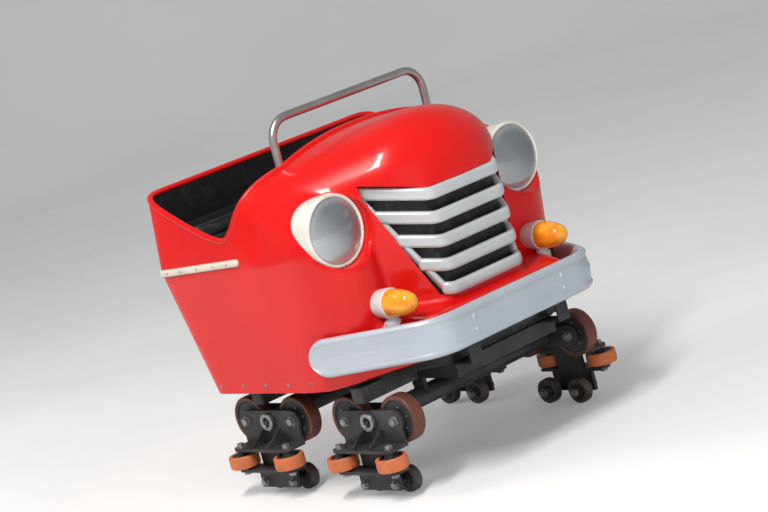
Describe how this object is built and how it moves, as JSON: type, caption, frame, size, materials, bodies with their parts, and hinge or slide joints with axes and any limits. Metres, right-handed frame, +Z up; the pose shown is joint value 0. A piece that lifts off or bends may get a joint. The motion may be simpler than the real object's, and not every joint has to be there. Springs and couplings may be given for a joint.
{
  "type": "roller coaster car",
  "caption": "Lead car of a family roller coaster: truck-style nose with grille, lamps and bumper, two-seat cockpit, lap bar, rocking wheel carriers.",
  "frame": {"origin": "centre of the car's box, at the level that the up-stop wheels stand on", "axes": "+X forward towards the bumper, +Y to the left side, +Z up"},
  "size_m": [1.364, 1.3228, 1.434],
  "materials": {
    "red_gelcoat": "glossy",
    "black_moulding": "satin",
    "black_vinyl": "satin",
    "silver_paint": "satin",
    "bumper_paint": "satin",
    "lamp_cream": "glossy",
    "lens_grey": "glossy",
    "signal_white": "glossy",
    "amber": "glossy",
    "trim_white": "satin",
    "bar_steel": "satin",
    "black_steel": "satin",
    "orange_tread": "satin",
    "brown_tread": "satin",
    "dark_tread": "satin"
  },
  "bodies": {
    "car": {"tub_shell": "red_gelcoat", "nose_shell": "red_gelcoat", "dash": "black_moulding", "floor_pan": "black_moulding", "seat_base": "black_moulding", "cushions": "black_vinyl", "backrests": "black_vinyl", "grille_frame": "silver_paint", "grille_back": "black_moulding", "headlamp_pods": "lamp_cream", "headlamp_lenses": "lens_grey", "signal_housings": "signal_white", "signal_lenses": "amber", "bumper": "bumper_paint", "side_trims": "trim_white", "grab_hoop": "bar_steel", "chassis_frame": "black_steel", "hitch": "black_steel", "axles": "black_steel"},
    "lap_bar": {"lap_bar": "bar_steel", "lap_pad": "black_vinyl"},
    "carrier_fl": {"carrier_fl": "black_steel"},
    "carrier_fr": {"carrier_fr": "black_steel"},
    "carrier_rl": {"carrier_rl": "black_steel"},
    "carrier_rr": {"carrier_rr": "black_steel"},
    "run_fl_1": {"run_fl_1": "brown_tread"},
    "run_fl_2": {"run_fl_2": "brown_tread"},
    "run_fr_1": {"run_fr_1": "brown_tread"},
    "run_fr_2": {"run_fr_2": "brown_tread"},
    "run_rl_1": {"run_rl_1": "brown_tread"},
    "run_rl_2": {"run_rl_2": "brown_tread"},
    "run_rr_1": {"run_rr_1": "brown_tread"},
    "run_rr_2": {"run_rr_2": "brown_tread"},
    "guide_fl_1": {"guide_fl_1": "orange_tread"},
    "guide_fl_2": {"guide_fl_2": "orange_tread"},
    "guide_fr_1": {"guide_fr_1": "orange_tread"},
    "guide_fr_2": {"guide_fr_2": "orange_tread"},
    "guide_rl_1": {"guide_rl_1": "orange_tread"},
    "guide_rl_2": {"guide_rl_2": "orange_tread"},
    "guide_rr_1": {"guide_rr_1": "orange_tread"},
    "guide_rr_2": {"guide_rr_2": "orange_tread"},
    "upstop_fl_1": {"upstop_fl_1": "dark_tread"},
    "upstop_fl_2": {"upstop_fl_2": "dark_tread"},
    "upstop_fr_1": {"upstop_fr_1": "dark_tread"},
    "upstop_fr_2": {"upstop_fr_2": "dark_tread"},
    "upstop_rl_1": {"upstop_rl_1": "dark_tread"},
    "upstop_rl_2": {"upstop_rl_2": "dark_tread"},
    "upstop_rr_1": {"upstop_rr_1": "dark_tread"},
    "upstop_rr_2": {"upstop_rr_2": "dark_tread"}
  },
  "joints": [
    {"name": "lap_bar_hinge", "type": "hinge", "parent": "car", "child": "lap_bar", "pos_m": [-0.021, 0, 1], "axis": [0, 1, 0], "range_deg": [0, 55]},
    {"name": "carrier_fl_rock", "type": "hinge", "parent": "car", "child": "carrier_fl", "pos_m": [0.287, 0.48, 0.2865], "axis": [0, 1, 0], "range_deg": [-6, 6]},
    {"name": "carrier_fr_rock", "type": "hinge", "parent": "car", "child": "carrier_fr", "pos_m": [0.287, -0.48, 0.2865], "axis": [0, 1, 0], "range_deg": [-6, 6]},
    {"name": "carrier_rl_rock", "type": "hinge", "parent": "car", "child": "carrier_rl", "pos_m": [-0.293, 0.48, 0.2865], "axis": [0, 1, 0], "range_deg": [-6, 6]},
    {"name": "carrier_rr_rock", "type": "hinge", "parent": "car", "child": "carrier_rr", "pos_m": [-0.293, -0.48, 0.2865], "axis": [0, 1, 0], "range_deg": [-6, 6]},
    {"name": "run_fl_1_spin", "type": "hinge", "parent": "carrier_fl", "child": "run_fl_1", "pos_m": [0.422, 0.48, 0.2865], "axis": [0, 1, 0], "continuous": true},
    {"name": "run_fl_2_spin", "type": "hinge", "parent": "carrier_fl", "child": "run_fl_2", "pos_m": [0.152, 0.48, 0.2865], "axis": [0, 1, 0], "continuous": true},
    {"name": "run_fr_1_spin", "type": "hinge", "parent": "carrier_fr", "child": "run_fr_1", "pos_m": [0.422, -0.48, 0.2865], "axis": [0, 1, 0], "continuous": true},
    {"name": "run_fr_2_spin", "type": "hinge", "parent": "carrier_fr", "child": "run_fr_2", "pos_m": [0.152, -0.48, 0.2865], "axis": [0, 1, 0], "continuous": true},
    {"name": "run_rl_1_spin", "type": "hinge", "parent": "carrier_rl", "child": "run_rl_1", "pos_m": [-0.158, 0.48, 0.2865], "axis": [0, 1, 0], "continuous": true},
    {"name": "run_rl_2_spin", "type": "hinge", "parent": "carrier_rl", "child": "run_rl_2", "pos_m": [-0.428, 0.48, 0.2865], "axis": [0, 1, 0], "continuous": true},
    {"name": "run_rr_1_spin", "type": "hinge", "parent": "carrier_rr", "child": "run_rr_1", "pos_m": [-0.158, -0.48, 0.2865], "axis": [0, 1, 0], "continuous": true},
    {"name": "run_rr_2_spin", "type": "hinge", "parent": "carrier_rr", "child": "run_rr_2", "pos_m": [-0.428, -0.48, 0.2865], "axis": [0, 1, 0], "continuous": true},
    {"name": "guide_fl_1_spin", "type": "hinge", "parent": "carrier_fl", "child": "guide_fl_1", "pos_m": [0.422, 0.5855, 0.15], "axis": [0, 0, 1], "continuous": true},
    {"name": "guide_fl_2_spin", "type": "hinge", "parent": "carrier_fl", "child": "guide_fl_2", "pos_m": [0.152, 0.5855, 0.15], "axis": [0, 0, 1], "continuous": true},
    {"name": "guide_fr_1_spin", "type": "hinge", "parent": "carrier_fr", "child": "guide_fr_1", "pos_m": [0.422, -0.5855, 0.15], "axis": [0, 0, 1], "continuous": true},
    {"name": "guide_fr_2_spin", "type": "hinge", "parent": "carrier_fr", "child": "guide_fr_2", "pos_m": [0.152, -0.5855, 0.15], "axis": [0, 0, 1], "continuous": true},
    {"name": "guide_rl_1_spin", "type": "hinge", "parent": "carrier_rl", "child": "guide_rl_1", "pos_m": [-0.158, 0.5855, 0.15], "axis": [0, 0, 1], "continuous": true},
    {"name": "guide_rl_2_spin", "type": "hinge", "parent": "carrier_rl", "child": "guide_rl_2", "pos_m": [-0.428, 0.5855, 0.15], "axis": [0, 0, 1], "continuous": true},
    {"name": "guide_rr_1_spin", "type": "hinge", "parent": "carrier_rr", "child": "guide_rr_1", "pos_m": [-0.158, -0.5855, 0.15], "axis": [0, 0, 1], "continuous": true},
    {"name": "guide_rr_2_spin", "type": "hinge", "parent": "carrier_rr", "child": "guide_rr_2", "pos_m": [-0.428, -0.5855, 0.15], "axis": [0, 0, 1], "continuous": true},
    {"name": "upstop_fl_1_spin", "type": "hinge", "parent": "carrier_fl", "child": "upstop_fl_1", "pos_m": [0.371, 0.48, 0.05], "axis": [0, 1, 0], "continuous": true},
    {"name": "upstop_fl_2_spin", "type": "hinge", "parent": "carrier_fl", "child": "upstop_fl_2", "pos_m": [0.203, 0.48, 0.05], "axis": [0, 1, 0], "continuous": true},
    {"name": "upstop_fr_1_spin", "type": "hinge", "parent": "carrier_fr", "child": "upstop_fr_1", "pos_m": [0.371, -0.48, 0.05], "axis": [0, 1, 0], "continuous": true},
    {"name": "upstop_fr_2_spin", "type": "hinge", "parent": "carrier_fr", "child": "upstop_fr_2", "pos_m": [0.203, -0.48, 0.05], "axis": [0, 1, 0], "continuous": true},
    {"name": "upstop_rl_1_spin", "type": "hinge", "parent": "carrier_rl", "child": "upstop_rl_1", "pos_m": [-0.209, 0.48, 0.05], "axis": [0, 1, 0], "continuous": true},
    {"name": "upstop_rl_2_spin", "type": "hinge", "parent": "carrier_rl", "child": "upstop_rl_2", "pos_m": [-0.377, 0.48, 0.05], "axis": [0, 1, 0], "continuous": true},
    {"name": "upstop_rr_1_spin", "type": "hinge", "parent": "carrier_rr", "child": "upstop_rr_1", "pos_m": [-0.209, -0.48, 0.05], "axis": [0, 1, 0], "continuous": true},
    {"name": "upstop_rr_2_spin", "type": "hinge", "parent": "carrier_rr", "child": "upstop_rr_2", "pos_m": [-0.377, -0.48, 0.05], "axis": [0, 1, 0], "continuous": true}
  ]
}
